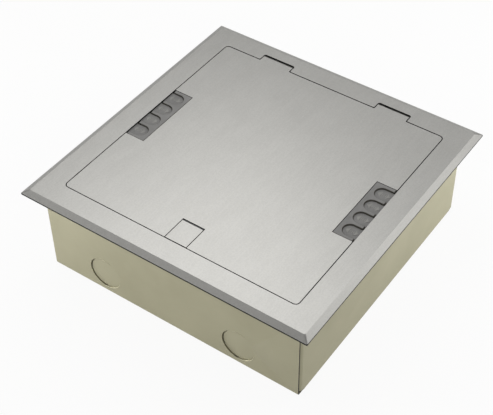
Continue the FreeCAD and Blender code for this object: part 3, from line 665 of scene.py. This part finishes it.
def shutter_piece(side, index, y):
    """One shutter: in the right-hand outlet's place, or turned half round the lid's middle for the left."""
    half = SLOT_HALF - (GROOVE + CLEARANCE) / 2
    middle = (CLEARANCE - GROOVE) / 2
    base = terraces(polygon_outline, PLATE_PROFILE, points=bar(PLATE_START, PLATE_END, PLATE_HALF))
    tip = SLOT_TIP + GROOVE
    island = terraces(tongue_outline, ISLAND_PROFILE, tip=tip, end=ISLAND_END, half=half, middle=middle)
    relief = joined([terraces(polygon_outline, RELIEF_PROFILE, points=np.add(p, (0, middle))) for p in ARROW])
    turn = 1 if side == "right" else -1
    # The island's sides and the plate take the slot sides' painted shade; only the island's top is plain grey.
    island_finishes = [slot_side_shade] * (len(island[1]) - 1) + [grey_abs]
    groups = [
        (corners * (turn, turn, 1) + (0, y, 0), faces, finish)
        for (corners, faces), finish in ((base, slot_side_shade), (island, island_finishes), (relief, relief_highlight_abs))
    ]
    name = f"shutter_{side}_{index}"
    return new_piece(name + "_moulding", groups, name, name)


SHUTTER_PITCH = 15.8
SHUTTER_Y = [SHUTTER_PITCH * (k - (SHUTTERS_PER_SIDE - 1) / 2) for k in range(SHUTTERS_PER_SIDE)]
shutters = [shutter_piece(side, i + 1, y) for side in ("left", "right") for i, y in enumerate(SHUTTER_Y)]
print("shutters:", len(shutters), "faces each:", len(shutters[0].data.polygons))

# %% [markdown]
# ## Screws
# The screws are thread-forming ones with a hexagon head, a washer face under it and a cross recess. All of it
# is one stack of rings whose radius depends on the angle: round, hexagonal or cross-shaped.

# %% Screws
ANGLES = np.linspace(0, 2 * math.pi, 96, endpoint=False)
THREAD_PITCH = 0.9
ROOT = 0.8                                        # radii, as shares of the shank's or of the washer face's
POINT = 0.25
HEXAGON = 0.8
CHAMFER = 0.72
SHANK = 0.27                                      # the shank's radius, as a share of the head's whole width


def round_radius(size):
    """The same radius at every angle."""
    return np.full(len(ANGLES), float(size))


def hexagon_radius(flat):
    """A hexagon whose flats are the given distance from its middle: flat / cos(angle from the flat's middle)."""
    from_flat = (ANGLES + math.pi / 6) % (math.pi / 3) - math.pi / 6
    return flat / np.cos(from_flat)


def cross_radius(reach, half):
    """A cross: reach / cos(angle) across the end of an arm, and half / |sin(angle)| along its sides."""
    from_arm = (ANGLES + math.pi / 4) % (math.pi / 2) - math.pi / 4
    side = half / np.maximum(np.abs(np.sin(from_arm)), 1e-6)
    return np.minimum(reach / np.cos(from_arm), side)


def turned_skin(rings, place):
    """Rings of (radius for each angle, height) round the vertical through a place."""
    corners = [
        np.stack([r * np.cos(ANGLES), r * np.sin(ANGLES), np.full(len(ANGLES), z)], axis=1) for r, z in rings
    ]
    return skin(np.array(corners) + np.array((*place, 0.0)))


def screw_skin(place, seat, head, height, shank, length):
    """A screw whose head sits at a height: point, threads, washer face, hexagon, chamfer and cross recess."""
    threads = []
    for k in range(int(length / THREAD_PITCH) - 1):
        z = seat - length + 1.2 + k * THREAD_PITCH
        threads += [(round_radius(shank * ROOT), z), (round_radius(shank), z + THREAD_PITCH / 2)]
    top = seat + height
    rings = [
        (round_radius(shank * POINT), seat - length), (round_radius(shank * ROOT), seat - length + 1.0),
        *threads,
        (round_radius(shank * ROOT), seat), (round_radius(head), seat), (round_radius(head), seat + 0.5),
        (hexagon_radius(head * HEXAGON), seat + 0.6), (hexagon_radius(head * HEXAGON), top - 0.35),
        (round_radius(head * CHAMFER), top), (cross_radius(head * 0.5, head * 0.12), top),
        (cross_radius(head * 0.4, head * 0.08), top - 0.6 * height),
    ]
    return turned_skin(rings, place)


def extents(node):
    """The lowest and highest corner, in millimetres, of each separate solid of a node, in order of place."""
    shape = bmesh.new()
    shape.from_mesh(nodes[node].data)
    bmesh.ops.remove_doubles(shape, verts=shape.verts, dist=MERGE_GAP)
    left, found = set(shape.verts), []
    while left:
        front = [left.pop()]
        corners = []
        while front:
            vert = front.pop()
            corners.append(vert.co / MM)
            near = {e.other_vert(vert) for e in vert.link_edges} & left
            left -= near
            front += near
        corners = np.array(corners)
        found.append((corners.min(axis=0), corners.max(axis=0)))
    shape.free()
    return sorted(found, key=lambda pair: pair[0].tolist())


for node, head_height in (("frame_screws", 3.0), ("plate_screws", 2.0)):
    skins = []
    for low, high in extents(node):
        place, size = (low + high)[:2] / 2, high - low
        seat = high[2] - head_height
        skins.append(screw_skin(place, seat, size[0] / 2, head_height, size[0] * SHANK, size[2] - head_height))
    made = new_piece(node + "_turned", [(*joined(skins), bright_zinc)], BODY_OF[node], node)
    print(node, len(skins), "screws", len(made.data.polygons), "faces")

# %% [markdown]
# ## Knock-out lips
# A knock-out is punched half through, so that its disc stays. Where the punch didn't shear, the sheet is only
# drawn, and it is left with a fine rounded lip that catches the light. The lip is highest below and to one
# side of each disc, and a lower one stands over its top.

# %% Knock-out lips
def lip(centre, radius, start, end, height, outward):
    """A bead along an arc of a circle in the x-z plane, from start to end, in degrees from +x.

    Corner = centre + (radius + r cos s) along the arc's radius + r sin s outward, for s all the way round,
    where r = height * sin(pi t) ** 0.5 fades to nothing at both ends of the arc. outward is 1 towards +y and -1
    towards -y. A bead towards -y is a mirrored one, so its faces are turned over.
    """
    t = np.linspace(0.002, 0.998, 33)
    arc = np.radians(start + (end - start) * t)
    r = height * np.sqrt(np.sin(math.pi * t))[:, None]
    s = np.linspace(0, 2 * math.pi, 8, endpoint=False)
    along = radius + r * np.cos(s)
    rings = np.stack([
        along * np.cos(arc)[:, None], np.broadcast_to(outward * r * np.sin(s), along.shape),
        along * np.sin(arc)[:, None],
    ], axis=-1)
    corners, faces = skin(rings)
    if outward < 0:
        faces = [face[::-1] for face in faces]
    return corners + centre, faces


KNOCKOUT_X, KNOCKOUT_Z, KNOCKOUT_RADIUS = 64.6, 21.0, 14.8
LIPS = ((-95, -8, 0.34), (62, 112, 0.16))         # start and end in degrees, and height in millimetres
box_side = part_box("box_shell")[1].y / MM
# The lips take the lighter zinc, a painted highlight along them.
knockout_lips = [
    (*lip((x, outward * box_side, KNOCKOUT_Z), KNOCKOUT_RADIUS, start, end, height, outward), yellow_zinc_lip_highlight)
    for x in (-KNOCKOUT_X, KNOCKOUT_X) for outward in (-1, 1)
    for start, end, height in LIPS
]
made = new_piece("knockout_lips", knockout_lips, "box")
print(made.name, len(made.data.polygons), "faces")

# %% [markdown]
# ## Data port contacts
# An eight-way data port has eight gilt spring wires. Each starts at the mouth, on the side away from the
# latch, and slants down into the port, where it bears on the plug. Every wire is the same round section
# carried along one bent line, so all 48 come from one array.

# %% Data port contacts
def wires(places, line, radius, sides=6):
    """Round wires: circles of a radius, square to the tangent of a line in the y-z plane, moved to each place.

    Corner = place + line point + radius * (cos t along x + sin t along the line's normal).
    """
    line = np.asarray(line, float)
    tangent = np.gradient(line, axis=0)
    tangent /= np.linalg.norm(tangent, axis=1, keepdims=True)
    normal = np.cross(tangent, (1.0, 0.0, 0.0))
    turn = np.linspace(0, 2 * math.pi, sides, endpoint=False)
    ring = np.cos(turn)[:, None] * np.array([1.0, 0, 0]) + np.sin(turn)[:, None] * normal[:, None, :]
    one = line[:, None, :] + radius * ring
    corners, faces = skin(one)
    return joined([(corners + place, faces) for place in places])


PORT_X, PORT_Y = 10.5, (-54.0, 0.0, 54.0)
WIRES_PER_PORT, WIRE_PITCH, WIRE_RADIUS = 8, 1.02, 0.22
port_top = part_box("data_jacks_left")[1].z / MM
wire_line = [
    (0, -0.7, -12.6), (0, -0.9, -11.0), (0, -1.5, -8.0), (0, -2.3, -4.5), (0, -2.9, -2.2), (0, -3.1, -1.2),
]
for side, sign in (("left", -1), ("right", 1)):
    places = [
        (sign * PORT_X + (k - (WIRES_PER_PORT - 1) / 2) * WIRE_PITCH, y, port_top)
        for y in PORT_Y for k in range(WIRES_PER_PORT)
    ]
    made = new_piece("jack_wires_" + side, [(*wires(places, wire_line, WIRE_RADIUS), gilt)],
                     BODY_OF["data_jacks_left"])
    print(made.name, len(made.data.polygons), "faces")
